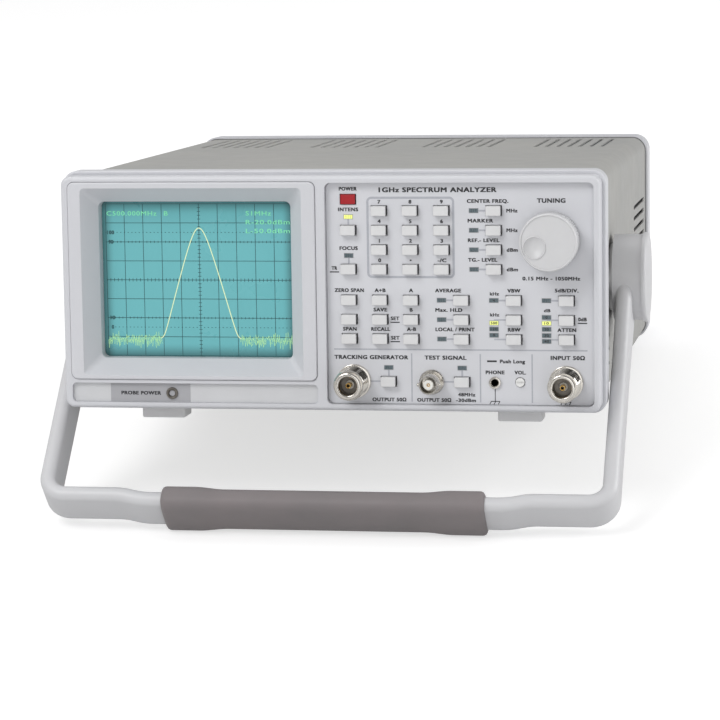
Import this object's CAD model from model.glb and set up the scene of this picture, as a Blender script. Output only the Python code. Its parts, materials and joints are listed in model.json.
import json
import math
import random

import bmesh
import bpy
from mathutils import Matrix, Vector


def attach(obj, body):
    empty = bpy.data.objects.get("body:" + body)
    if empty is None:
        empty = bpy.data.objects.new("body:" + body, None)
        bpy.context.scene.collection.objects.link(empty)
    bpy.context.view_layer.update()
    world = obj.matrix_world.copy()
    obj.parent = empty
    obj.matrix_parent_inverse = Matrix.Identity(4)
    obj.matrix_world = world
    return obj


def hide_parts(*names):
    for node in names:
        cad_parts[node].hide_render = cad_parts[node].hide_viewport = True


# A bench spectrum analyzer. Pieces are drawn in millimetres in the instrument's own frame: X to the
# right, Y from the front face towards the back, Z up, origin at the centre of the front face.

MM = 0.001
TAU = math.tau
INK = 0.04
KNOB_PLACE = Vector((115.5, 0, 27.6))

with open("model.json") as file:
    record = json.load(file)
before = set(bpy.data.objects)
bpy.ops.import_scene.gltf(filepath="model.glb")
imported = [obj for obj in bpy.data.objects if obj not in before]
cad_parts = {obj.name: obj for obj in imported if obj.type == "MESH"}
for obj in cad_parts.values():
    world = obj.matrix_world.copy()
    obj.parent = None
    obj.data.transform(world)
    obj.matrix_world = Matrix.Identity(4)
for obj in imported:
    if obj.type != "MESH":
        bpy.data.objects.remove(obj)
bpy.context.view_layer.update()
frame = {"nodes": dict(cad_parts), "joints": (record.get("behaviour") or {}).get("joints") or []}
scene = bpy.context.scene
record_joints = {joint["name"]: joint for joint in frame["joints"]}


def find_stand():
    """The matrix from the instrument's frame to the row frame, from the tuning knob's joint."""
    knob = record_joints["tuning_turn"]
    right, back = Vector((1, 0, 0)), -Vector(knob["axis"])
    turn = Matrix((right, back, right.cross(back))).transposed()
    return Matrix.Translation(Vector(knob["pos_m"]) - turn @ KNOB_PLACE * MM) @ turn.to_4x4()


STAND = find_stand()


class Extent:
    """The box of a CAD node in the instrument's frame, in millimetres."""

    def __init__(self, node):
        back = STAND.inverted()
        points = [back @ vertex.co / MM for vertex in frame["nodes"][node].data.vertices]
        self.low = Vector([min(point[axis] for point in points) for axis in range(3)])
        self.high = Vector([max(point[axis] for point in points) for axis in range(3)])
        self.x, self.y, self.z = (self.low + self.high) / 2


BUTTONS = {
    node: Extent(node) for node in frame["nodes"] if node.endswith("button") or node.startswith("key_")
}
PANEL = Extent("control_panel")
FACE = PANEL.low.y
KNOB = Extent("tuning_knob")
TUBE = Extent("picture_tube")
BEZEL = Extent("screen_bezel")


# ---------------------------------------------------------------- materials

FADE_STARTS = (("X", 0.85), ("Z", 0.78))


class Shader:
    """A Principled material with object coordinates and a few node helpers."""

    def __init__(self, name, colour, roughness, metallic=0.0):
        self.material = bpy.data.materials.new(name)
        self.material.use_nodes = True
        self.nodes = self.material.node_tree.nodes
        self.links = self.material.node_tree.links
        self.surface = self.nodes["Principled BSDF"]
        self.colour = colour
        self.surface.inputs["Base Color"].default_value = (*colour, 1)
        self.surface.inputs["Roughness"].default_value = roughness
        self.surface.inputs["Metallic"].default_value = metallic
        self.roughness = roughness
        self.place = self.nodes.new("ShaderNodeTexCoord").outputs["Object"]
        self.normal = None

    def set(self, socket, value):
        """A value on the Principled shader's own socket."""
        self.surface.inputs[socket].default_value = value
        return self

    def noise(self, size_mm, detail=2.0, stretch=(1, 1, 1)):
        """Noise whose features are about size_mm across, longer where stretch is small."""
        mapping = self.nodes.new("ShaderNodeMapping")
        mapping.inputs["Scale"].default_value = stretch
        self.links.new(self.place, mapping.inputs["Vector"])
        noise = self.nodes.new("ShaderNodeTexNoise")
        noise.inputs["Scale"].default_value = 1 / (size_mm * MM)
        noise.inputs["Detail"].default_value = detail
        self.links.new(mapping.outputs["Vector"], noise.inputs["Vector"])
        return noise.outputs["Fac"]

    def spread(self, factor, low, high):
        """The factor's middle range stretched to low..high."""
        ranged = self.nodes.new("ShaderNodeMapRange")
        ranged.inputs["From Min"].default_value = 0.3
        ranged.inputs["From Max"].default_value = 0.7
        ranged.inputs["To Min"].default_value = low
        ranged.inputs["To Max"].default_value = high
        self.links.new(factor, ranged.inputs["Value"])
        return ranged.outputs["Result"]

    def mottle(self, size_mm, amount, tint=(1, 1, 1)):
        """Colour that drifts lighter and darker by amount over patches of size_mm."""
        mix = self.nodes.new("ShaderNodeMix")
        mix.data_type = "RGBA"
        darker = [channel * (1 - amount) for channel in self.colour]
        lighter = [min(1, channel * (1 + amount) * tone) for channel, tone in zip(self.colour, tint)]
        mix.inputs["A"].default_value = (*darker, 1)
        mix.inputs["B"].default_value = (*lighter, 1)
        self.links.new(self.spread(self.noise(size_mm, 4), 0, 1), mix.inputs["Factor"])
        self.links.new(mix.outputs["Result"], self.surface.inputs["Base Color"])
        return self

    def uneven_gloss(self, size_mm, amount, stretch=(1, 1, 1)):
        """Roughness that drifts up and down by amount over patches of size_mm."""
        low, high = self.roughness - amount, self.roughness + amount
        factor = self.noise(size_mm, 3, stretch)
        self.links.new(self.spread(factor, low, high), self.surface.inputs["Roughness"])
        return self

    def darken_edges(self, centre, turn, half_width, half_height, edge):
        """Fade to a share (edge) of the colour near the sides of a rectangle of these half sizes."""
        flat = self.nodes.new("ShaderNodeMapping")
        flat.vector_type = "TEXTURE"
        flat.inputs["Location"].default_value = centre
        flat.inputs["Rotation"].default_value = turn
        flat.inputs["Scale"].default_value = (half_width * MM, 1, half_height * MM)
        self.links.new(self.place, flat.inputs["Vector"])
        parts = self.nodes.new("ShaderNodeSeparateXYZ")
        self.links.new(flat.outputs["Vector"], parts.inputs["Vector"])
        shares = []
        for axis, low in FADE_STARTS:
            size = self.nodes.new("ShaderNodeMath")
            size.operation = "ABSOLUTE"
            self.links.new(parts.outputs[axis], size.inputs[0])
            share = self.nodes.new("ShaderNodeMapRange")
            share.interpolation_type = "SMOOTHSTEP"
            share.inputs["From Min"].default_value = low
            share.inputs["To Min"].default_value = 1
            share.inputs["To Max"].default_value = edge
            self.links.new(size.outputs["Value"], share.inputs["Value"])
            shares.append(share.outputs["Result"])
        both = self.nodes.new("ShaderNodeMath")
        both.operation = "MULTIPLY"
        self.links.new(shares[0], both.inputs[0])
        self.links.new(shares[1], both.inputs[1])
        for socket in ("Base Color", "Emission Color"):
            shade = self.nodes.new("ShaderNodeMix")
            shade.data_type = "RGBA"
            shade.blend_type = "MULTIPLY"
            shade.inputs["Factor"].default_value = 1
            link = self.surface.inputs[socket].links
            if link:
                self.links.new(link[0].from_socket, shade.inputs["A"])
            else:
                shade.inputs["A"].default_value = self.surface.inputs[socket].default_value
            self.links.new(both.outputs["Value"], shade.inputs["B"])
            self.links.new(shade.outputs["Result"], self.surface.inputs[socket])
        return self

    def grain(self, size_mm, height_mm, strength=0.5, stretch=(1, 1, 1)):
        """A bump of grains; several calls add up."""
        bump = self.nodes.new("ShaderNodeBump")
        bump.inputs["Strength"].default_value = strength
        bump.inputs["Distance"].default_value = height_mm * MM
        self.links.new(self.noise(size_mm, 2, stretch), bump.inputs["Height"])
        if self.normal is not None:
            self.links.new(self.normal, bump.inputs["Normal"])
        self.normal = bump.outputs["Normal"]
        self.links.new(self.normal, self.surface.inputs["Normal"])
        return self

    def soft_edges(self, radius_mm):
        """Edges that catch the light as if they had a small radius."""
        bevel = self.nodes.new("ShaderNodeBevel")
        bevel.samples = 4
        bevel.inputs["Radius"].default_value = radius_mm * MM
        self.normal = bevel.outputs["Normal"]
        self.links.new(self.normal, self.surface.inputs["Normal"])
        return self

    def glow(self, colour, strength):
        """A light of the finish's own."""
        self.surface.inputs["Emission Color"].default_value = (*colour, 1)
        self.surface.inputs["Emission Strength"].default_value = strength
        return self


def make_materials():
    """Every finish of the instrument, by name."""
    light_plastic = (0.60, 0.605, 0.635)
    made = {
        "housing": Shader("moulded_housing", light_plastic, 0.42).soft_edges(0.35)
        .mottle(60, 0.015).uneven_gloss(18, 0.05).grain(0.35, 0.012),
        "bezel": Shader("moulded_bezel", light_plastic, 0.4).soft_edges(0.5)
        .mottle(50, 0.015).uneven_gloss(15, 0.05).grain(0.3, 0.01),
        "panel": Shader("powder_coated_panel", (0.62, 0.625, 0.655), 0.5).soft_edges(0.15)
        .mottle(35, 0.02).uneven_gloss(9, 0.06).grain(0.25, 0.012),
        "phosphor": Shader("teal_phosphor_glass", (0.12, 0.34, 0.36), 0.3)
        .mottle(45, 0.03).uneven_gloss(20, 0.04).glow((0.06, 0.36, 0.39), 0.35)
        .darken_edges(STAND @ (Vector((TUBE.x, TUBE.low.y, TUBE.z)) * MM), STAND.to_euler(),
                      52.5, 43, 0.3)
        .set("Coat Weight", 0.6).set("Coat Roughness", 0.08),
        "case": Shader("textured_case_paint", (0.355, 0.355, 0.345), 0.6).soft_edges(0.3)
        .mottle(80, 0.03, (1.02, 1.01, 0.99)).uneven_gloss(12, 0.06).grain(0.8, 0.05)
        .grain(0.25, 0.015),
        "rear_paint": Shader("smooth_rear_paint", (0.46, 0.47, 0.49), 0.45).soft_edges(0.2)
        .mottle(60, 0.02).uneven_gloss(14, 0.05).grain(0.3, 0.012),
        "handle": Shader("moulded_handle", (0.58, 0.58, 0.595), 0.38)
        .mottle(70, 0.012).uneven_gloss(25, 0.05).grain(0.4, 0.012),
        "grip": Shader("soft_grip_rubber", (0.195, 0.178, 0.18), 0.62)
        .mottle(30, 0.05, (1.03, 1, 1)).uneven_gloss(10, 0.07).grain(0.5, 0.05)
        .grain(0.18, 0.02).set("Sheen Weight", 0.12),
        "foot": Shader("moulded_feet", (0.76, 0.76, 0.77), 0.5).soft_edges(0.3)
        .mottle(20, 0.02).uneven_gloss(8, 0.06).grain(0.4, 0.02),
        "key": Shader("satin_keycaps", (0.67, 0.67, 0.675), 0.45).soft_edges(0.25)
        .mottle(3, 0.02).uneven_gloss(2, 0.06).grain(0.22, 0.015),
        "key_side": Shader("dark_key_sides", (0.085, 0.085, 0.09), 0.5)
        .mottle(2, 0.1).uneven_gloss(2, 0.06).grain(0.25, 0.01),
        "power": Shader("red_power_cap", (0.37, 0.004, 0.010), 0.4).soft_edges(0.2)
        .mottle(3, 0.05).uneven_gloss(2, 0.05).grain(0.22, 0.008),
        "knob": Shader("satin_knob", (0.60, 0.60, 0.61), 0.36)
        .mottle(8, 0.015).uneven_gloss(5, 0.06).grain(0.22, 0.01),
        "white": Shader("white_trimmer", (0.76, 0.76, 0.75), 0.35)
        .mottle(1.5, 0.02).uneven_gloss(1, 0.05).grain(0.15, 0.006),
        "insulator": Shader("milky_insulator", (0.78, 0.77, 0.72), 0.4)
        .mottle(1.5, 0.03).uneven_gloss(1, 0.06).grain(0.2, 0.006),
        "nickel": Shader("nickel_plating", (0.66, 0.63, 0.58), 0.17, 1.0)
        .mottle(2.5, 0.05).uneven_gloss(1.2, 0.07).grain(0.12, 0.003),
        "dark_metal": Shader("shaded_bore_metal", (0.20, 0.185, 0.165), 0.38, 1.0)
        .mottle(2, 0.08).uneven_gloss(1, 0.08).grain(0.12, 0.003),
        "gold": Shader("gold_contact", (0.80, 0.52, 0.18), 0.25, 1.0)
        .mottle(0.8, 0.06).uneven_gloss(0.5, 0.06).grain(0.1, 0.002),
        "black": Shader("black_moulding", (0.018, 0.018, 0.019), 0.4).soft_edges(0.2)
        .mottle(6, 0.15).uneven_gloss(4, 0.06).grain(0.25, 0.012),
        "hole": Shader("dark_hole", (0.006, 0.006, 0.006), 0.7)
        .mottle(1, 0.3).grain(0.3, 0.01),
        "steel": Shader("zinc_plated_steel", (0.56, 0.56, 0.55), 0.32, 1.0)
        .mottle(2, 0.06).uneven_gloss(1.5, 0.08).grain(0.15, 0.004),
        "sheet_metal": Shader("bare_sheet_metal", (0.62, 0.62, 0.63), 0.38, 1.0)
        .mottle(12, 0.05).uneven_gloss(6, 0.08, (1, 0.08, 1)).grain(0.3, 0.006, 0.5, (1, 0.05, 1)),
        "board": Shader("green_board", (0.03, 0.16, 0.07), 0.4)
        .mottle(4, 0.25).uneven_gloss(3, 0.08).grain(0.6, 0.02),
        "ink": Shader("printed_ink", (0.026, 0.026, 0.03), 0.55)
        .mottle(0.6, 0.12).grain(0.15, 0.004),
        "grey_ink": Shader("grey_printed_line", (0.41, 0.42, 0.46), 0.5)
        .mottle(0.8, 0.05).grain(0.15, 0.004),
        "plaque": Shader("grey_plaque", (0.38, 0.38, 0.40), 0.45)
        .mottle(12, 0.025).uneven_gloss(5, 0.05).grain(0.25, 0.008),
        "strip": Shader("white_strip_label", (0.58, 0.585, 0.60), 0.4)
        .mottle(15, 0.02).uneven_gloss(6, 0.05).grain(0.25, 0.006),
        "window_off": Shader("smoked_window", (0.10, 0.135, 0.15), 0.3)
        .mottle(0.9, 0.2).uneven_gloss(0.8, 0.05).grain(0.3, 0.01),
        "window_lit": Shader("lit_window", (0.6, 0.62, 0.2), 0.4)
        .mottle(0.9, 0.1, (1, 1, 1.2)).grain(0.3, 0.01).glow((0.72, 0.80, 0.14), 0.6),
        "window_rim": Shader("window_rim", (0.33, 0.34, 0.35), 0.4)
        .mottle(1, 0.1).grain(0.2, 0.01),
        "scale_line": Shader("graticule_line", (0.025, 0.10, 0.11), 0.5)
        .mottle(2, 0.1).grain(0.3, 0.002),
        "beam": Shader("bright_beam", (0.3, 0.33, 0.2), 0.5)
        .mottle(1, 0.05).glow((0.62, 0.70, 0.38), 0.9),
        "noise_beam": Shader("faint_beam", (0.25, 0.40, 0.22), 0.5)
        .mottle(1, 0.1).glow((0.36, 0.62, 0.26), 0.75),
        "readout": Shader("green_readout", (0.15, 0.40, 0.25), 0.5)
        .mottle(1, 0.1).glow((0.14, 0.62, 0.30), 0.6),
    }
    return {name: shader.material for name, shader in made.items()}


MATERIALS = make_materials()

NODE_FINISHES = {
    "front_frame": "housing", "screen_bezel": "bezel", "picture_tube": "phosphor",
    "tube_shield": "sheet_metal", "control_panel": "panel", "volume_trimmer": "white",
    "case_sleeve": "case", "rear_frame": "housing", "rear_panel": "rear_paint",
    "rear_connectors": "black", "chassis": "sheet_metal", "feet": "foot",
    "circuit_boards": "board", "shielded_modules": "sheet_metal", "handle_bail": "handle",
    "handle_grip": "grip", "power_button": "power", "case_screws": "steel",
    "tuning_knob": "knob", "coaxial_sockets": "nickel", "small_sockets": "nickel",
    "indicator_windows": "window_off",
}


def finish_nodes():
    """Give every CAD node its finish; the other buttons are caps with one dark side."""
    for name, node in frame["nodes"].items():
        finish = MATERIALS[NODE_FINISHES.get(name, "key")]
        node.data.materials.clear()
        node.data.materials.append(finish)
    back = STAND.inverted()
    for name, extent in BUTTONS.items():
        data = frame["nodes"][name].data
        data.materials.append(MATERIALS["key_side"])
        for polygon in data.polygons:
            depth = (back @ polygon.center).y / MM
            if depth > extent.low.y + 0.4 and polygon.normal.x > 0.5:
                polygon.material_index = 1


# ---------------------------------------------------------------- mesh helpers

def add_piece(name, mesh, finishes, body, replaced=(), sharp=35):
    """Turn a bmesh drawn in millimetres in the instrument's frame into a piece on a body."""
    bmesh.ops.recalc_face_normals(mesh, faces=mesh.faces)
    mesh.transform(Matrix.Scale(MM, 4))
    data = bpy.data.meshes.new(name)
    mesh.to_mesh(data)
    mesh.free()
    data.polygons.foreach_set("use_smooth", [True] * len(data.polygons))
    data.set_sharp_from_angle(angle=math.radians(sharp))
    for finish in finishes:
        data.materials.append(MATERIALS[finish])
    piece = bpy.data.objects.new(name, data)
    scene.collection.objects.link(piece)
    piece.matrix_world = STAND
    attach(piece, body)
    if replaced:
        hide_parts(*replaced)
    return piece


def join_rings(mesh, rings, finish=0):
    """Faces between neighbouring rings of vertices; a ring of one vertex is a tip."""
    segments = max(len(ring) for ring in rings)
    for first, second in zip(rings, rings[1:]):
        for step in range(segments):
            after = (step + 1) % segments
            corners = [first[step % len(first)], first[after % len(first)],
                       second[after % len(second)], second[step % len(second)]]
            mesh.faces.new(list(dict.fromkeys(corners))).material_index = finish


def turned(mesh, profile, centre, finish=0, segments=96, ripple=None):
    """Turn a profile of (depth, radius) points round an axis along Y through centre (x, z)."""
    x, z = centre
    rings = []
    for depth, radius in profile:
        ring = []
        for step in range(segments if radius else 1):
            angle = TAU * step / segments
            reach = radius + (ripple(depth, angle, radius) if ripple and radius else 0)
            spot = (x + reach * math.cos(angle), depth, z + reach * math.sin(angle))
            ring.append(mesh.verts.new(spot))
        rings.append(ring)
    join_rings(mesh, rings, finish)


def slab(mesh, outline, front, back, finish=0):
    """A flat plate with an outline of (x, z) points between two depths."""
    near = [mesh.verts.new((x, front, z)) for x, z in outline]
    far = [mesh.verts.new((x, back, z)) for x, z in outline]
    mesh.faces.new(near).material_index = finish
    mesh.faces.new(far[::-1]).material_index = finish
    join_rings(mesh, [near, far], finish)


def bar(mesh, x, z, front, back, finish=0):
    """An upright rectangular slab between two (low, high) pairs."""
    slab(mesh, [(x[0], z[0]), (x[1], z[0]), (x[1], z[1]), (x[0], z[1])], front, back, finish)


def stroke(mesh, start, end, width, front, back, finish=0):
    """A thin slab along a line from start to end."""
    start, end = Vector(start), Vector(end)
    along = (end - start).normalized()
    side = Vector((-along.y, along.x)) * width / 2
    slab(mesh, [start - side, end - side, end + side, start + side], front, back, finish)


def rounded_outline(box, radius, steps=6):
    """Points of a rounded rectangle given as (left, right, bottom, top)."""
    left, right, bottom, top = box
    centres = [(right - radius, bottom + radius), (right - radius, top - radius),
               (left + radius, top - radius), (left + radius, bottom + radius)]
    points = []
    for quarter, (x, z) in enumerate(centres):
        for step in range(steps + 1):
            angle = TAU / 4 * (quarter - 1 + step / steps)
            points.append((x + radius * math.cos(angle), z + radius * math.sin(angle)))
    return points


def framed(mesh, box, radius, width, front, back, finish=0):
    """A rounded rectangular line of a given width."""
    left, right, bottom, top = box
    inner_box = (left + width, right - width, bottom + width, top - width)
    outer = rounded_outline(box, radius)
    inner = rounded_outline(inner_box, radius - width)
    for index, corner in enumerate(outer):
        after = (index + 1) % len(outer)
        outline = [corner, outer[after], inner[after], inner[index]]
        slab(mesh, outline, front, back, finish)


class Letters:
    """Draws lettering with the built-in font, as thin solid slabs."""

    def __init__(self):
        self.curve = bpy.data.curves.new("lettering", "FONT")
        self.curve.resolution_u = 3
        self.curve.space_character = 1.12
        self.curve.extrude = 0.5
        self.carrier = bpy.data.objects.new("lettering", self.curve)
        scene.collection.objects.link(self.carrier)
        self.curve.body = "H"
        self.cap_height = max(corner[1] for corner in self.shape().bound_box)

    def shape(self):
        """The carrier with its lettering worked out."""
        bpy.context.view_layer.update()
        return self.carrier.evaluated_get(bpy.context.evaluated_depsgraph_get())

    def draw(self, mesh, text, x, z, cap, width, face, bold=0.085):
        """Text centred on (x, z) on a face, caps of height cap, width wide in all.

        Without a width it keeps the font's own proportions. It is printed in four passes, each
        shifted by a share of the cap height to fatten the strokes.
        """
        self.curve.body = text
        data = bpy.data.meshes.new_from_object(self.shape())
        across = [vertex.co.x for vertex in data.vertices]
        left, right = min(across), max(across)
        shift = bold * cap
        tall = (cap - shift) / self.cap_height
        if width is None:
            width = (right - left) * tall * 1.1 + 2 * shift
        wide = (width - 2 * shift) / (right - left)
        x -= (width / 2 - shift) + left * wide
        for turn, (along, up) in enumerate(((-1, 0.5), (1, -0.5), (1, 0.5), (-1, -0.5))):
            thick = INK - turn * 0.004
            spot = Matrix(((wide, 0, 0, x + along * shift), (0, 0, -thick, face - thick / 2),
                           (0, tall, 0, z - cap / 2 + (up + 0.5) * shift), (0, 0, 0, 1)))
            layer = data.copy()
            layer.transform(spot)
            mesh.from_mesh(layer)
            bpy.data.meshes.remove(layer)
        bpy.data.meshes.remove(data)

    def remove(self):
        """Take away the carrier once all the lettering is drawn."""
        bpy.data.objects.remove(self.carrier)
        bpy.data.curves.remove(self.curve)


# ---------------------------------------------------------------- screen

GRATICULE_OFFSET = (0.9, -0.6)
DIVISION = 10
LINE = 0.32
NOISE_LEVEL = -31.7


class Screen:
    """The graticule's centre and the depth that lines are drawn at."""

    x = TUBE.x + GRATICULE_OFFSET[0]
    z = TUBE.z + GRATICULE_OFFSET[1]
    face = TUBE.low.y


def make_graticule():
    """Ten by eight divisions, ticks on the middle lines and on two more, two dotted levels."""
    mesh = bmesh.new()
    across, up = 5 * DIVISION, 4 * DIVISION
    front, back = Screen.face - INK, Screen.face
    for step in range(-5, 6):
        x = Screen.x + step * DIVISION
        stroke(mesh, (x, Screen.z - up), (x, Screen.z + up), LINE, front, back)
    for step in range(-4, 5):
        z = Screen.z + step * DIVISION
        stroke(mesh, (Screen.x - across, z), (Screen.x + across, z), LINE, front, back)
    fifth = DIVISION / 5
    for step in range(-25, 26):
        x = Screen.x + step * fifth
        for level, half in ((0, 0.85), (2, 0.55), (-2, 0.55)):
            z = Screen.z + level * DIVISION
            stroke(mesh, (x, z - half), (x, z + half), LINE, front, back)
        for level in (-2.5, 2.5):
            z = Screen.z + level * DIVISION
            stroke(mesh, (x - LINE, z), (x + LINE, z), LINE, front, back)
    for step in range(-20, 21):
        z = Screen.z + step * fifth
        stroke(mesh, (Screen.x - 0.85, z), (Screen.x + 0.85, z), LINE, front, back)
    for text, level in (("100", 2.5), ("90", 2), ("10", -2), ("0", -2.5)):
        LETTERS.draw(mesh, text, Screen.x - 4.75 * DIVISION, Screen.z + level * DIVISION, 2,
                     1.3 * len(text), Screen.face)
    add_piece("graticule", mesh, ["scale_line"], "instrument")


def beam_height(offset):
    """The filter curve: height over the screen's centre at a distance from the peak, in mm."""
    peak, bend, fall, settle = 27.2, 4.6, 17.2, 5
    height = peak - fall * (math.sqrt(1 + (offset / bend) ** 2) - 1) - NOISE_LEVEL
    return NOISE_LEVEL + (height + math.hypot(height, settle)) / 2


def ribbon(mesh, points, width, front, back):
    """A line of constant width through points, mitred at each."""
    sides = []
    for index, point in enumerate(points):
        before = points[max(index - 1, 0)]
        after = points[min(index + 1, len(points) - 1)]
        along = (after - before).normalized()
        side = Vector((-along.y, along.x)) * width / 2
        sides.append((point + side, point - side))
    for (first_up, first_down), (second_up, second_down) in zip(sides, sides[1:]):
        slab(mesh, [first_down, second_down, second_up, first_up], front, back)


def make_trace():
    """One bright resonance curve rising out of a band of noise on both sides."""
    skirt, left, right = 21.5, -5 * DIVISION, 5.15 * DIVISION
    front, back = Screen.face - 3 * INK, Screen.face - INK
    count = 80
    offsets = [-skirt + 2 * skirt * step / count for step in range(count + 1)]
    curve = [Vector((Screen.x + offset, Screen.z + beam_height(offset))) for offset in offsets]
    mesh = bmesh.new()
    ribbon(mesh, curve, 0.42, front, back)
    add_piece("trace", mesh, ["beam"], "instrument")

    dice = random.Random(7)
    mesh = bmesh.new()
    for sweep in range(3):
        for x, end in ((left, 0.5 - skirt), (skirt - 0.5, right)):
            previous = NOISE_LEVEL
            while x < end:
                level = NOISE_LEVEL + dice.gauss(0, 1.7)
                stroke(mesh, (Screen.x + x, Screen.z + previous),
                       (Screen.x + x + 0.35, Screen.z + level), 0.11, front, back - sweep * 0.01)
                previous = level
                x += 0.35
    add_piece("trace_noise", mesh, ["noise_beam"], "instrument")


def make_readout():
    """The settings written in the screen's top corners."""
    mesh = bmesh.new()
    left, right, top = Screen.x - 5 * DIVISION, Screen.x + 5 * DIVISION, Screen.z + 35
    words = [
        ("C500.000MHz", left + 14, top, 27), ("B", left + 32.5, top, 2.1),
        ("S1MHz", right - 18.1, top, 13.5), ("R-20.0dBm", right - 13.2, top - 4.6, 23.4),
        ("L-50.0dBm", right - 13.2, top - 9.2, 23.4),
    ]
    for text, x, z, width in words:
        LETTERS.draw(mesh, text, x, z, 2.3, width, Screen.face - INK, 0.02)
    add_piece("readout", mesh, ["readout"], "instrument")


# ---------------------------------------------------------------- front panel printing

CAP = 1.9
ABOVE_KEY = 4.6
BESIDE_KEY = 7.6


def above(mesh, node, text, width, shift=0.0, lift=ABOVE_KEY):
    """A caption over a button."""
    spot = BUTTONS[node]
    LETTERS.draw(mesh, text, spot.x + shift, spot.z + lift, CAP, width, FACE)


def make_captions():
    """Captions of the keys and sockets, printed on the panel."""
    mesh = bmesh.new()
    write = LETTERS.draw
    for digit in range(10):
        above(mesh, f"key_{digit}", str(digit), None)
    above(mesh, "key_point", "•", None)
    above(mesh, "key_clear", "-/C", 4.6)
    over_keys = [
        ("power_button", "POWER", 9.4, 0, 5.4), ("intensity_button", "INTENS", 10.6, 0, 10.7),
        ("focus_button", "FOCUS", 9.6, 0, 10.8), ("zero_span_button", "ZERO SPAN", 15.4, 0, 5),
        ("sum_button", "A+B", 5.8, 0, 5), ("trace_a_button", "A", None, 0, 5),
        ("save_button", "SAVE", 7.2, 0, 5), ("trace_b_button", "B", None, 0, 5),
        ("span_down_button", "SPAN", 7.2, 0, 5), ("recall_button", "RECALL", 10, 0, 5),
        ("difference_button", "A-B", 4.8, 0, 5), ("average_button", "AVERAGE", 13.5, -6.9, 5),
        ("max_hold_button", "Max. HLD", 14.1, -6.6, 5),
        ("local_print_button", "LOCAL / PRINT", 20.3, -3.5, 5),
        ("video_bandwidth_button", "VBW", 6.8, 0, 5), ("resolution_down_button", "RBW", 6.6, 0, 5),
        ("scale_button", "5dB/DIV.", 12.2, 0, 5.2), ("attenuation_down_button", "ATTEN", 9.7, 0, 5),
        ("centre_frequency_button", "CENTER FREQ.", 21.4, -3.1, 4.9),
        ("marker_button", "MARKER", 13.2, -6.9, 4.9),
        ("reference_level_button", "REF.- LEVEL", 16.3, -5.3, 4.9),
        ("tracking_level_button", "TG.- LEVEL", 15.1, -5.9, 4.9),
    ]
    for node, text, width, shift, lift in over_keys:
        above(mesh, node, text, width, shift, lift)
    for node, text in (("centre_frequency_button", "MHz"), ("marker_button", "MHz"),
                       ("reference_level_button", "dBm"), ("tracking_level_button", "dBm")):
        above(mesh, node, text, 5.8, BESIDE_KEY + 1.7, 0)
    for node, text, shift in (("save_button", "SET", BESIDE_KEY), ("recall_button", "SET", BESIDE_KEY),
                              ("attenuation_up_button", "0dB", BESIDE_KEY + 0.4),
                              ("focus_button", "TR", -BESIDE_KEY)):
        spot = BUTTONS[node]
        write(mesh, text, spot.x + shift, spot.z + 0.5, CAP, 1.5 * len(text), FACE)
        bar(mesh, (spot.x + shift - 2.4, spot.x + shift + 2.4), (spot.z - 1.8, spot.z - 1.2),
            FACE - INK, FACE)
    free_words = [
        ("1GHz SPECTRUM ANALYZER", 57.2, 53.2, 2.5, 60.9), ("TUNING", KNOB.x, 47.6, 2.3, 14.6),
        ("0.15 MHz - 1050MHz", KNOB.x - 0.2, 7.8, 1.9, 29.6),
        ("kHz", 86.1, -0.1, 1.7, 4.8), ("kHz", 86.1, -10.9, 1.7, 4.8), ("dB", 113.1, -8.6, 1.7, 3.4),
        ("TRACKING GENERATOR", 21.8, -33.2, 2.1, 38.6), ("TEST SIGNAL", 60.5, -33.2, 2.1, 21.8),
        ("Push Long", 95.1, -34.9, 1.9, 13), ("PHONE", 86.1, -40.6, 1.9, 9.8),
        ("VOL.", 99.1, -40.6, 1.9, 6), ("INPUT 50Ω", 123.5, -32.9, 2.1, 17.6),
        ("OUTPUT 50Ω", 31, -55.2, 1.9, 17.8), ("OUTPUT 50Ω", 54.4, -55.2, 1.9, 17.8),
        ("48MHz", 71.3, -52.3, 1.8, 9), ("-30dBm", 70.9, -55.2, 1.8, 10.4),
    ]
    for text, x, z, cap, width in free_words:
        write(mesh, text, x, z, cap, width, FACE)
    bar(mesh, (82, 87), (-35.3, -34.4), FACE - INK, FACE)
    for x, top in ((86.1, -48.9), (122.7, -54.9)):
        ground_symbol(mesh, x, top)
    add_piece("captions", mesh, ["ink"], "instrument")


def ground_symbol(mesh, x, top):
    """A chassis-earth mark with its lead from above."""
    level, front, back = -55.6, FACE - INK, FACE
    stroke(mesh, (x, top), (x, level), 0.4, front, back)
    stroke(mesh, (x - 2.2, level), (x + 2.4, level), 0.4, front, back)
    for step in (-2, 0.2, 2.4):
        stroke(mesh, (x + step, level), (x + step - 0.9, level - 1.5), 0.4, front, back)


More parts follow.
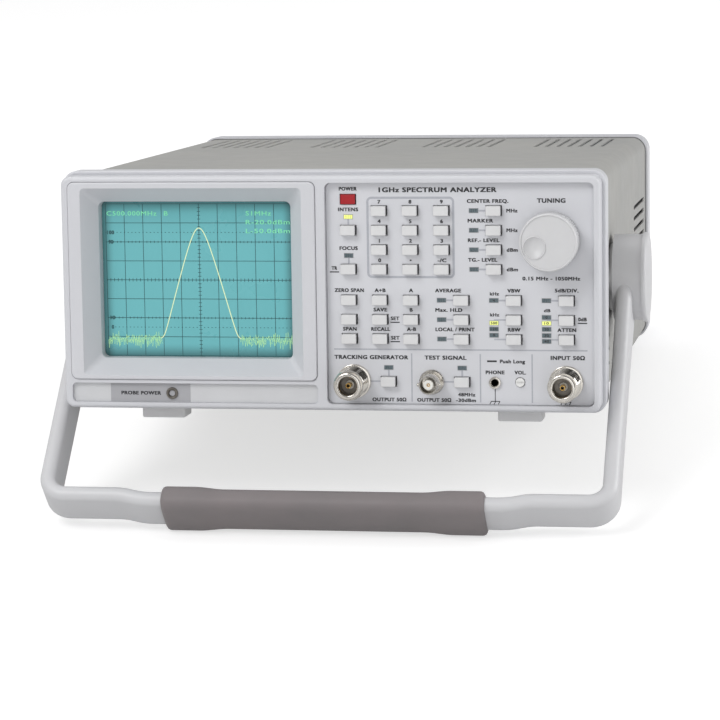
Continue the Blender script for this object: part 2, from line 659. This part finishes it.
def make_panel_lines():
    """The keypad's border, the dividing lines and the leads between lamps, sockets and keys."""
    mesh = bmesh.new()
    front, back = FACE - INK, FACE
    left, right = BUTTONS["key_7"].x - 6.6, BUTTONS["key_9"].x + 6.6
    border = (left, right, BUTTONS["key_0"].z - 4.6, BUTTONS["key_7"].z + 7.2)
    framed(mesh, border, 2.6, 1.15, front, back)
    level = -29.1
    bar(mesh, (2.4, 133.6), (level - 0.35, level + 0.35), front, back)
    for x in (42.9, 78.5, 105.2):
        bar(mesh, (x - 0.35, x + 0.35), (-56.2, level - 2), front, back)
    for node in LAMPS_BESIDE:
        spot = BUTTONS[node]
        bar(mesh, (spot.x - 8, spot.x - 4.2), (spot.z - 0.45, spot.z + 0.45), front, back)
    for node in LAMPS_ABOVE:
        spot = BUTTONS[node]
        bar(mesh, (spot.x - 0.45, spot.x + 0.45), (spot.z + 2.8, spot.z + 6), front, back)
    for node, reach in (("tracking_output_button", 9.4), ("test_signal_button", 9.6)):
        spot = BUTTONS[node]
        bar(mesh, (spot.x - reach, spot.x - 4.2), (spot.z - 0.4, spot.z + 0.4), front, back)
    for low_node, high_node in STACKS:
        low, high = BUTTONS[low_node], BUTTONS[high_node]
        for spot in (low, high):
            bar(mesh, (spot.x - 10.3, spot.x - 4.2), (spot.z - 0.4, spot.z + 0.4), front, back)
    add_piece("panel_lines", mesh, ["grey_ink"], "instrument")


# ---------------------------------------------------------------- indicator windows

LAMPS_BESIDE = [
    "centre_frequency_button", "marker_button", "reference_level_button", "tracking_level_button",
    "average_button", "max_hold_button", "local_print_button", "video_bandwidth_button",
    "scale_button",
]
LAMPS_ABOVE = ["intensity_button", "focus_button", "tracking_output_button", "test_signal_button"]
STACKS = [("resolution_down_button", "resolution_up_button"),
          ("attenuation_down_button", "attenuation_up_button")]
WINDOW_REACH = 10.35
WINDOW_VALUES = {
    "resolution_up_button": ("4", "500", "120", "9"),
    "attenuation_up_button": ("", "0", "10", "20", "30", "40"),
}


def window_centres():
    """The centre of every separate window in the CAD node, found from its loose parts."""
    mesh = bmesh.new()
    mesh.from_mesh(frame["nodes"]["indicator_windows"].data)
    bmesh.ops.remove_doubles(mesh, verts=mesh.verts, dist=0.00001)
    back = STAND.inverted()
    seen, centres = set(), []
    for start in mesh.verts:
        if start in seen:
            continue
        group, waiting = [], [start]
        seen.add(start)
        while waiting:
            vertex = waiting.pop()
            group.append(back @ vertex.co / MM)
            for edge in vertex.link_edges:
                other = edge.other_vert(vertex)
                if other not in seen:
                    seen.add(other)
                    waiting.append(other)
        low = Vector([min(point[axis] for point in group) for axis in range(3)])
        high = Vector([max(point[axis] for point in group) for axis in range(3)])
        centres.append((low + high) / 2)
    mesh.free()
    return centres


def is_lit(centre):
    """The intensity lamp, the widest bandwidth and the second attenuator step are on."""
    lamp = BUTTONS["intensity_button"]
    bandwidth = BUTTONS["resolution_up_button"]
    attenuation = BUTTONS["attenuation_up_button"]
    spots = [(lamp.x, lamp.z + 7), (bandwidth.x - WINDOW_REACH, -15.1),
             (attenuation.x - WINDOW_REACH, -15.1)]
    return any(abs(centre.x - x) < 1 and abs(centre.z - z) < 1 for x, z in spots)


def find_values(centres):
    """The value that each window of the two columns shows, from the top down, by window number."""
    values = {}
    for node, texts in WINDOW_VALUES.items():
        x = BUTTONS[node].x - WINDOW_REACH
        column = [index for index, centre in enumerate(centres) if abs(centre.x - x) < 1]
        column.sort(key=lambda index: -centres[index].z)
        values.update(zip(column, texts))
    return values


def make_windows():
    """Lamp windows: a rim round a crowned lens, dark or lit, with a value or three thin bars."""
    half_width, half_height, rim = 2.4, 1.175, 0.16
    centres = window_centres()
    values = find_values(centres)
    marks = bmesh.new()
    kinds = (("windows_dark", "window_off", False), ("windows_lit", "window_lit", True))
    for name, finish, wanted in kinds:
        mesh = bmesh.new()
        for index, centre in enumerate(centres):
            if is_lit(centre) != wanted:
                continue
            left, right = centre.x - half_width, centre.x + half_width
            bottom, top = centre.z - half_height, centre.z + half_height
            framed(mesh, (left, right, bottom, top), 0.3, rim, FACE - 0.15, FACE + 2)
            lens = (left + rim, right - rim, bottom + rim, top - rim)
            levels = ((0, FACE - 0.05), (0.25, FACE - 0.12))
            dome(mesh, lens, 0.2, levels, FACE + 2, 1)
            text = values.get(index)
            if text:
                width = 1.15 * len(text)
                LETTERS.draw(marks, text, centre.x, centre.z, 1.3, width, FACE - 0.12, 0.05)
                continue
            for share in (-0.5, 0, 0.5):
                x = centre.x + share * (half_width - rim)
                bar(marks, (x - 0.06, x + 0.06), (bottom + 0.4, top - 0.4), FACE - 0.16, FACE - 0.1)
        piece = add_piece(name, mesh, ["window_rim", finish], "instrument")
        if wanted:
            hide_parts("indicator_windows")
    add_piece("window_marks", marks, ["ink"], "instrument")


def dome(mesh, box, radius, levels, back, finish):
    """A block whose front steps inwards through (inset, depth) levels."""
    left, right, bottom, top = box
    rings = [[mesh.verts.new((x, back, z)) for x, z in rounded_outline(box, radius, 3)]]
    for inset, depth in levels:
        shrunk = (left + inset, right - inset, bottom + inset, top - inset)
        ring = rounded_outline(shrunk, radius, 3)
        rings.append([mesh.verts.new((x, depth, z)) for x, z in ring])
    join_rings(mesh, rings, finish)
    mesh.faces.new(rings[0]).material_index = finish
    mesh.faces.new(rings[-1][::-1]).material_index = finish


# ---------------------------------------------------------------- knob and sockets

FACE_SINK = 0.55
SOCKET_FINISHES = ["nickel", "dark_metal", "gold", "insulator", "hole"]
NICKEL, DARK_METAL, GOLD, INSULATOR, HOLE = range(len(SOCKET_FINISHES))
SOCKET_LEVEL = -45.7


def make_knob():
    """Ribbed side, bevelled ring round the face, and a spherical finger dimple."""
    mesh = bmesh.new()
    centre = (KNOB.x, KNOB.z)
    front, radius, segments, ribs = KNOB.low.y, 14.75, 640, 80
    back = 2.8

    def ribbed(depth, angle, reach):
        on_side = reach > radius - 0.2 and front + 1.6 < depth < back - 0.6
        return -0.4 * (0.5 - 0.5 * math.cos(ribs * angle)) if on_side else 0

    profile = [(back, 0), (back, radius - 0.4), (back - 0.4, radius - 0.05), (back - 0.9, radius)]
    steps = 6
    profile += [(back - 1 + (front + 2.8 - back) * step / steps, radius) for step in range(steps + 1)]
    profile += [(front + 1.5, radius), (front + 0.9, radius), (front + 0.35, radius - 0.2),
                (front + 0.06, radius - 0.5), (front, radius - 0.75), (front + 0.04, radius - 0.95),
                (front + 0.2, radius - 1.1), (front + FACE_SINK, radius - 1.15)]
    turned(mesh, profile, centre, 0, segments, ripple=ribbed)
    mesh.verts.ensure_lookup_table()
    face_edge = list(mesh.verts)[-segments:]
    dimple_radius, dimple_x, dimple_z = 6.0, KNOB.x - 7.05, KNOB.z - 2.6
    loop = add_dimple(mesh, (dimple_x, dimple_z), dimple_radius, front, segments)
    join_rings(mesh, [face_edge, loop])
    turned(mesh, [(back, 0), (back, 3), (back + 14, 3), (back + 14, 0)], centre)
    add_piece("tuning_knob_turned", mesh, ["knob"], "tuning_knob",
              ["tuning_knob"], sharp=50)


def add_dimple(mesh, centre, radius, front, segments):
    """A spherical hollow with a raised lip; returns the lip's outer loop of vertices."""
    x, z = centre
    lip = [(FACE_SINK, 1.0), (0.15, 0.985), (0.0, 0.955), (0.0, 0.92), (0.15, 0.89), (FACE_SINK, 0.875)]
    sag = 1.9
    bowl = [(FACE_SINK + sag * (1 - (share / 0.875) ** 2), share)
            for share in (0.82, 0.75, 0.65, 0.5, 0.35, 0.2, 0.1)]
    rings = []
    for depth, share in lip + bowl:
        reach = radius * share
        rings.append([
            mesh.verts.new((x + reach * math.cos(TAU * step / segments), front + depth,
                            z + reach * math.sin(TAU * step / segments)))
            for step in range(segments)
        ])
    rings.append([mesh.verts.new((x, front + FACE_SINK + sag, z))])
    join_rings(mesh, rings)
    return rings[0]


def screw_thread(start, end, pitch, height, least):
    """A ripple for turned() that cuts a V thread on the outside between two depths."""
    def ripple(depth, angle, radius):
        if radius < least or not start < depth < end:
            return 0
        fade = min(1, (depth - start) / pitch, (end - depth) / pitch)
        return -height * fade * abs(2 * ((depth / pitch + angle / TAU) % 1) - 1)
    return ripple


def make_coaxial_sockets():
    """Two threaded sockets with a round nut, a bright plain nose, a bore and a gold contact."""
    mesh = bmesh.new()
    whole = Extent("coaxial_sockets")
    sockets = [(12.8, whole.low.y + 0.6), (122.7, whole.low.y)]
    pitch, radius, nut, nose = 25.4 / 24, 7.94, FACE - 2.4, 6.8
    for x, tip in sockets:
        centre = (x, SOCKET_LEVEL)
        crest = tip + 2.6
        outside = [(nut - 0.2 - step * pitch / 8, radius)
                   for step in range(int((nut - 0.6 - crest) / (pitch / 8)))]
        profile = [(FACE, radius - 0.1), (nut, radius - 0.1)] + outside
        profile += [(crest, radius - 0.55), (crest, nose), (tip + 0.7, nose), (tip + 0.25, nose - 0.15),
                    (tip + 0.02, nose - 0.5), (tip, 5.4), (tip + 0.1, 5.15), (tip + 0.4, 4.92),
                    (tip + 2.2, 4.9), (tip + 2.5, 4.7)]
        turned(mesh, profile, centre, NICKEL,
               ripple=screw_thread(crest, nut - 0.2, pitch, 0.6, radius - 0.05))
        turned(mesh, [(tip + 2.5, 4.7), (tip + 8.9, 4.7), (tip + 9, 0)], centre, DARK_METAL, 64)
        turned(mesh, [(FACE, 8.9), (nut + 0.6, 8.9), (nut + 0.2, 8.75), (nut, 8.3), (nut, 7.6)],
               centre, NICKEL)
        turned(mesh, [(tip + 9, 2.2), (tip + 7.4, 2.2), (tip + 7.2, 2), (tip + 7.2, 0)],
               centre, INSULATOR, 64)
        contact(mesh, centre, tip + 2, tip + 8.5)
    add_piece("coaxial_sockets_turned", mesh, SOCKET_FINISHES,
              "instrument", ["coaxial_sockets"])


def contact(mesh, centre, tip, end, radius=1.45, bore=0.8):
    """A gold tube with a rounded mouth."""
    turned(mesh, [(end, radius), (tip + 0.3, radius), (tip, radius - 0.25), (tip, bore + 0.15),
                  (tip + 0.2, bore)], centre, GOLD, 48)
    turned(mesh, [(tip + 0.2, bore), (end - 1, bore), (end - 1, 0)], centre, HOLE, 48)


def make_small_sockets():
    """The bayonet socket with its two lugs, the phone jack and the probe-power jack."""
    mesh = bmesh.new()
    x, z = 53.4, SOCKET_LEVEL
    tip, nut, centre = Extent("small_sockets").low.y, FACE - 2.4, (x, z)
    turned(mesh, [(FACE, 6.4), (nut + 0.4, 6.4), (nut, 6.0), (nut, 4.85), (nut - 0.6, 4.85),
                  (nut - 0.9, 4.45), (nut - 1.6, 4.45), (nut - 1.9, 4.85), (tip + 0.5, 4.85),
                  (tip, 4.5), (tip, 4.2), (tip + 0.3, 4.05), (tip + 8.6, 4.05), (tip + 8.7, 0)], centre)
    for side in (-1, 1):
        lug(mesh, x + side * 4.7, z, tip + 2.6, side)
    turned(mesh, [(tip + 8.5, 2.6), (tip + 1.3, 2.6), (tip + 1, 2.3), (tip + 1, 1.1), (tip + 1.6, 1.0),
                  (tip + 1.6, 0)], centre, INSULATOR, 64)
    contact(mesh, centre, tip + 1.3, tip + 6, 0.85, 0.45)
    jack(mesh, (86, -45.9), 2.36, FACE, 1.75, NICKEL)
    jack(mesh, (-83.5, -52.7), 0.9, 2.1, 1.55, DARK_METAL)
    add_piece("small_sockets_turned", mesh, SOCKET_FINISHES,
              "instrument", ["small_sockets"])


def lug(mesh, x, z, depth, side):
    """A round bayonet pin standing out sideways."""
    reach, radius, segments = 1.3, 0.95, 24
    rings = []
    for length, share in ((-0.6, 1), (reach - 0.25, 1), (reach, 0.75)):
        rings.append([
            mesh.verts.new((x + side * length, depth + radius * share * math.cos(TAU * step / segments),
                            z + radius * share * math.sin(TAU * step / segments)))
            for step in range(segments)
        ])
    join_rings(mesh, rings)
    mesh.faces.new(rings[0])
    mesh.faces.new(rings[-1])


def jack(mesh, centre, front, back, bore, finish):
    """A ring nut round a bore that ends in the dark."""
    turned(mesh, [(back, 3.1), (front + 0.35, 3.1), (front + 0.05, 2.9), (front, 2.6),
                  (front, bore + 0.55), (front + 0.25, bore + 0.2), (front + 0.6, bore)],
           centre, finish, 64)
    turned(mesh, [(front + 0.6, bore), (front + 12, bore), (front + 12, 0)], centre, HOLE, 64)


# ---------------------------------------------------------------- handle grip

GRIP_THICK = 6.45
GRIP_WIDE = 12.9
GRIP_SQUARENESS = 0.62
GRIP_SEGMENTS = 72


def make_grip():
    """The soft sleeve on the bar: straight in the middle, flared softly towards both ends."""
    centre = Extent("handle_grip")
    pivot = STAND.inverted() @ Vector(record_joints["handle_swing"]["pos_m"]) / MM
    reach = Vector((0, centre.y - pivot.y, centre.z - pivot.z))
    along = reach.normalized()
    across = Vector((0, -along.z, along.y))
    half = centre.high.x
    mesh = bmesh.new()
    rings = []
    for x, flare, inset in grip_stations(half):
        thick = GRIP_THICK + 1.0 * flare - inset
        wide = GRIP_WIDE + 1.05 * flare - inset
        ring = []
        for step in range(GRIP_SEGMENTS):
            angle = TAU * step / GRIP_SEGMENTS
            round_x = superellipse(math.cos(angle), GRIP_SQUARENESS)
            round_z = superellipse(math.sin(angle), GRIP_SQUARENESS)
            place = pivot + reach + along * thick * round_x + across * wide * round_z
            ring.append(mesh.verts.new((x, place.y, place.z)))
        rings.append(ring)
    join_rings(mesh, rings)
    mesh.faces.new(rings[0])
    mesh.faces.new(rings[-1])
    add_piece("handle_grip_sleeve", mesh, ["grip"], "handle", ["handle_grip"])


def superellipse(value, power):
    """A cosine or sine drawn out towards the corners."""
    return math.copysign(abs(value) ** power, value)


def grip_stations(half):
    """(x, flare from 0 to 1, inset at the rounded end) along the grip."""
    near = [(half, 1, 2.2), (half - 0.3, 1, 1.3), (half - 0.9, 1, 0.5), (half - 1.8, 1, 0.1),
            (half - 2.6, 1, 0)]
    flare_start, flare_end = 51, 67
    for step in range(13):
        share = 1 - step / 12
        x = flare_start + (flare_end - flare_start) * share
        near.append((x, (1 - math.cos(math.pi * share)) / 2, 0))
    near.append((25, 0, 0))
    return near + [(-x, flare, inset) for x, flare, inset in reversed(near)]


# ---------------------------------------------------------------- label strip

def make_strip_labels():
    """The light label that lines the strip and the grey plaque round the probe jack."""
    mesh = bmesh.new()
    floor = 2.0
    slab(mesh, rounded_outline((-136.5, -6.0, -57.3, -47.6), 2.3), floor - 0.12, floor)
    add_piece("strip_label", mesh, ["strip"], "instrument")
    mesh = bmesh.new()
    bar(mesh, (-116.5, -73.8), (-57.25, -47.65), floor - 0.2, floor - 0.1)
    add_piece("probe_plaque", mesh, ["plaque"], "instrument")
    mesh = bmesh.new()
    LETTERS.draw(mesh, "PROBE POWER", -100.2, -52.7, 1.9, 21.4, floor - 0.2)
    add_piece("probe_caption", mesh, ["ink"], "instrument")


def make_vent_screen():
    """A light dust screen close under the rear slots of the case's top."""
    top = Extent("case_sleeve").high.z - 1.4
    width, start, end, thickness = 250, 238, 322, 0.3
    corners = ((-width / 2, start), (width / 2, start), (width / 2, end), (-width / 2, end))
    mesh = bmesh.new()
    low = [mesh.verts.new((x, y, top - thickness)) for x, y in corners]
    high = [mesh.verts.new((x, y, top)) for x, y in corners]
    mesh.faces.new(low)
    mesh.faces.new(high)
    join_rings(mesh, [low, high])
    add_piece("vent_screen", mesh, ["rear_paint"], "instrument")


# ---------------------------------------------------------------- camera and light

def make_camera():
    """The camera stands well in front, to the right and above, and looks a little down and left."""
    spot = Vector((278, -1493.4, 163.2)) * MM
    pitch, yaw, roll = (math.radians(angle) for angle in (-7.42, 9.93, 0.83))
    data = bpy.data.cameras.new("camera")
    data.lens = 148.4
    data.sensor_width = 36
    camera = bpy.data.objects.new("camera", data)
    scene.collection.objects.link(camera)
    turn = (Matrix.Rotation(yaw, 4, "Z") @ Matrix.Rotation(pitch, 4, "X")
            @ Matrix.Rotation(roll, 4, "Y") @ Matrix.Rotation(TAU / 4, 4, "X"))
    camera.matrix_world = STAND @ Matrix.Translation(spot) @ turn
    scene.camera = camera


def add_softbox(name, place, target, size, power):
    """A square area light that looks at a target."""
    data = bpy.data.lights.new(name, "AREA")
    data.size = size
    data.energy = power
    light = bpy.data.objects.new(name, data)
    scene.collection.objects.link(light)
    light.location = place
    light.rotation_mode = "QUATERNION"
    light.rotation_quaternion = (Vector(target) - Vector(place)).to_track_quat("-Z", "Y")


def make_studio():
    """A pale floor that runs out of sight, four soft lights and a bright surround."""
    bpy.ops.mesh.primitive_plane_add(size=30)
    floor = bpy.context.object
    floor.name = "floor"
    shader = Shader("pale_floor", (0.5, 0.5, 0.5), 0.9).mottle(300, 0.004).glow((1, 1, 1), 0.6)
    lift = shader.nodes.new("ShaderNodeMapRange")
    lift.inputs["To Min"].default_value = 0.22
    lift.inputs["To Max"].default_value = 0.6
    seen = shader.nodes.new("ShaderNodeLightPath").outputs["Is Camera Ray"]
    shader.links.new(seen, lift.inputs["Value"])
    shader.links.new(lift.outputs["Result"], shader.surface.inputs["Emission Strength"])
    floor.data.materials.append(shader.material)
    make_surround()
    add_softbox("key_light", (-0.9, -1.4, 1.85), (0, -0.1, 0.1), 1.1, 23.5)
    add_softbox("front_light", (0.5, -1.9, 0.6), (0, -0.1, 0.08), 1.2, 6)
    add_softbox("side_light", (1.9, 0.3, 0.75), (0, -0.1, 0.1), 1.2, 20)
    add_softbox("top_light", (-0.5, 0.8, 1.9), (0, -0.1, 0), 1.1, 7)
    scene.view_settings.view_transform = "Standard"


def make_surround():
    """An even surround for diffuse light; bright metal mirrors one that darkens to the right."""
    world = bpy.data.worlds.new("surround")
    scene.world = world
    world.use_nodes = True
    nodes, links = world.node_tree.nodes, world.node_tree.links
    background = nodes["Background"]
    parts = nodes.new("ShaderNodeSeparateXYZ")
    links.new(nodes.new("ShaderNodeTexCoord").outputs["Generated"], parts.inputs["Vector"])
    fall = nodes.new("ShaderNodeMapRange")
    for socket, value in (("From Min", -0.7), ("From Max", 0.25), ("To Min", 0.75), ("To Max", 0.05)):
        fall.inputs[socket].default_value = value
    links.new(parts.outputs["X"], fall.inputs["Value"])
    choice = nodes.new("ShaderNodeMix")
    choice.inputs["A"].default_value = 0.5
    links.new(nodes.new("ShaderNodeLightPath").outputs["Is Glossy Ray"], choice.inputs["Factor"])
    links.new(fall.outputs["Result"], choice.inputs["B"])
    background.inputs["Color"].default_value = (1, 1, 1, 1)
    links.new(choice.outputs["Result"], background.inputs["Strength"])


LETTERS = Letters()
finish_nodes()
make_graticule()
make_trace()
make_readout()
make_captions()
make_panel_lines()
make_windows()
make_knob()
make_coaxial_sockets()
make_small_sockets()
make_strip_labels()
make_grip()
make_vent_screen()
LETTERS.remove()
make_camera()
make_studio()
